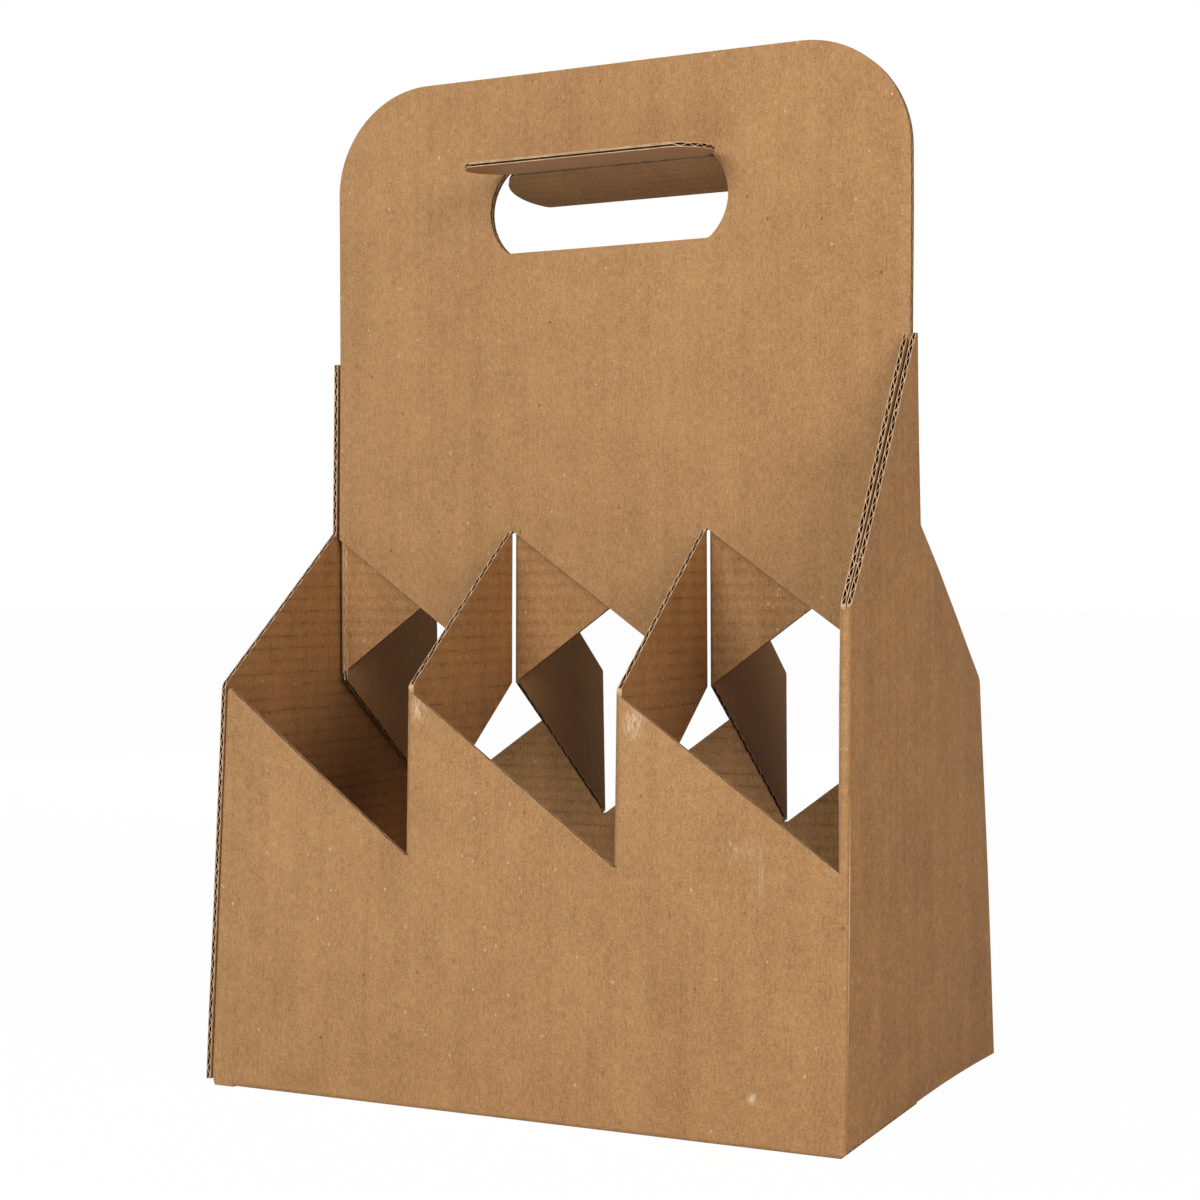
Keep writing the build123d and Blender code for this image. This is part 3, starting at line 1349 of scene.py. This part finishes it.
@dataclass(frozen=True)
class Viewpoint:
    """Camera at the photograph's viewing angle."""

    place: Triple = (0.31629, -0.66421, 0.16726)
    yaw: float = 0.4487
    pitch: float = -0.0044
    roll: float = -0.0019
    focal_share: float = 1.761
    sensor: float = 36.0

    def build(self) -> None:
        """Puts the camera in the scene."""
        level = math.cos(self.pitch)
        ahead = Vector((-math.sin(self.yaw) * level, math.cos(self.yaw) * level, math.sin(self.pitch)))
        right = Vector((math.cos(self.yaw), math.sin(self.yaw), 0))
        up = right.cross(ahead)
        side = right * math.cos(self.roll) + up * math.sin(self.roll)
        top = up * math.cos(self.roll) - right * math.sin(self.roll)
        lens = bpy.data.cameras.new("camera")
        lens.sensor_width = self.sensor
        lens.lens = self.sensor * self.focal_share
        camera = bpy.data.objects.new("camera", lens)
        camera.matrix_world = stand(Vector(self.place), side, top, -ahead)
        bpy.context.scene.collection.objects.link(camera)
        bpy.context.scene.camera = camera


@dataclass(frozen=True)
class Lamp:
    """A square soft light: its name, where it hangs, its width, its power in watts and its tint."""

    name: str
    place: Triple
    size: float
    power: float
    tint: Triple


@dataclass(frozen=True)
class Studio:
    """White floor and surroundings, and three soft lights: beside the carrier, in front and behind."""

    floor_size: float = 30.0
    floor_white: float = 0.90
    floor_share: float = 0.985
    ambient: float = 0.03
    ambient_tint: Triple = (1.0, 0.90, 0.78)
    lamps: tuple[Lamp, ...] = (
        Lamp("side_light", (0.77, -0.48, 0.55), 0.5, 4.5, (1.0, 0.82, 0.67)),
        Lamp("front_light", (-0.12, -0.95, 0.62), 0.55, 7.4, (1.0, 0.99, 0.98)),
        Lamp("back_light", (-0.75, 1.15, 0.55), 0.9, 7.5, (1.0, 0.97, 0.93)),
    )
    aim: Triple = (0, 0, 0.15)

    def floor(self) -> None:
        """Lays the floor, white to the camera but with the carrier's soft shadow."""
        bm = bmesh.new()
        bmesh.ops.create_grid(bm, x_segments=4, y_segments=4, size=self.floor_size / 2)
        floor = as_object(bm, "floor")
        recipe = Recipe("studio_floor")
        path = recipe.add("LightPath")
        seen = recipe.sum("MAXIMUM", path.outputs["Is Camera Ray"], path.outputs["Is Glossy Ray"])
        seen = recipe.sum("MAXIMUM", seen, path.outputs["Is Transmission Ray"])
        matt = recipe.add("BsdfDiffuse", Color=shade((self.floor_white,) * 3))
        glow = recipe.add("Emission", Color=(1, 1, 1, 1), Strength=1.0)
        share = recipe.sum("MULTIPLY", seen, self.floor_share)
        mix = recipe.add("MixShader", in0=share, in1=matt.outputs[0], in2=glow.outputs[0])
        recipe.tree.links.new(mix.outputs[0], recipe.output.inputs[0])
        floor.data.materials.append(recipe.material)

    def world(self) -> None:
        """Sets a plain world: white to the camera, faint warm light on the carrier."""
        world = bpy.data.worlds.new("studio")
        bpy.context.scene.world = world
        world.use_nodes = True
        tree = world.node_tree
        tree.nodes.clear()
        path = tree.nodes.new("ShaderNodeLightPath")
        seen = tree.nodes.new("ShaderNodeMath")
        seen.operation = "MAXIMUM"
        tree.links.new(path.outputs["Is Camera Ray"], seen.inputs[0])
        tree.links.new(path.outputs["Is Glossy Ray"], seen.inputs[1])
        both = tree.nodes.new("ShaderNodeMath")
        both.operation = "MAXIMUM"
        tree.links.new(seen.outputs[0], both.inputs[0])
        tree.links.new(path.outputs["Is Transmission Ray"], both.inputs[1])
        strength = tree.nodes.new("ShaderNodeMapRange")
        strength.inputs["To Min"].default_value = self.ambient
        strength.inputs["To Max"].default_value = 1.0
        tree.links.new(both.outputs[0], strength.inputs["Value"])
        glow = tree.nodes.new("ShaderNodeBackground")
        tint = tree.nodes.new("ShaderNodeMix")
        tint.data_type = "RGBA"
        tree.links.new(both.outputs[0], tint.inputs[0])
        tint.inputs[6].default_value = shade(self.ambient_tint)
        tint.inputs[7].default_value = (1, 1, 1, 1)
        tree.links.new(tint.outputs[2], glow.inputs["Color"])
        tree.links.new(strength.outputs[0], glow.inputs["Strength"])
        output = tree.nodes.new("ShaderNodeOutputWorld")
        tree.links.new(glow.outputs[0], output.inputs[0])

    def hang(self, lamp: Lamp) -> None:
        """Hangs a soft light that looks at the carrier.

        Args:
            lamp: the light.
        """
        light = bpy.data.lights.new(lamp.name, "AREA")
        light.shape = "SQUARE"
        light.size = lamp.size
        light.energy = lamp.power
        light.color = lamp.tint
        hung = bpy.data.objects.new(lamp.name, light)
        facing = (Vector(self.aim) - Vector(lamp.place)).to_track_quat("-Z", "Y")
        hung.matrix_world = Matrix.Translation(lamp.place) @ facing.to_matrix().to_4x4()
        bpy.context.scene.collection.objects.link(hung)

    def build(self) -> None:
        """Sets up floor, world and lamps."""
        self.floor()
        self.world()
        for lamp in self.lamps:
            self.hang(lamp)
        bpy.context.scene.view_settings.view_transform = "Standard"


def tie(piece: bpy.types.Object, body: str, node: str) -> None:
    """Ties a finished piece to the frame.

    Args:
        piece: the finished mesh.
        body: the body that carries it.
        node: the node that it stands for.
    """
    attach(piece, body)
    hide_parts(node)
    LOG.info("%s: %d faces on %s", piece.name, len(piece.data.polygons), body)


def main() -> None:
    """Builds the carrier and its studio, piece by piece."""
    logging.basicConfig(level=logging.INFO, format="%(name)s: %(message)s")
    sizes = CarrierSizes.from_frame()
    board = Board()
    finishes = Finishes().materials()
    for turn in Turn:
        side = turn.name.lower()
        tie(HalfBlank(sizes, board, turn).build(finishes), "carrier", f"{side}_blank")
        tie(HandFlap(sizes, board, turn).build(finishes), f"{side}_tongue", f"{side}_hand_flap")
    Studio().build()
    Viewpoint().build()


if __name__ == "__main__":
    main()
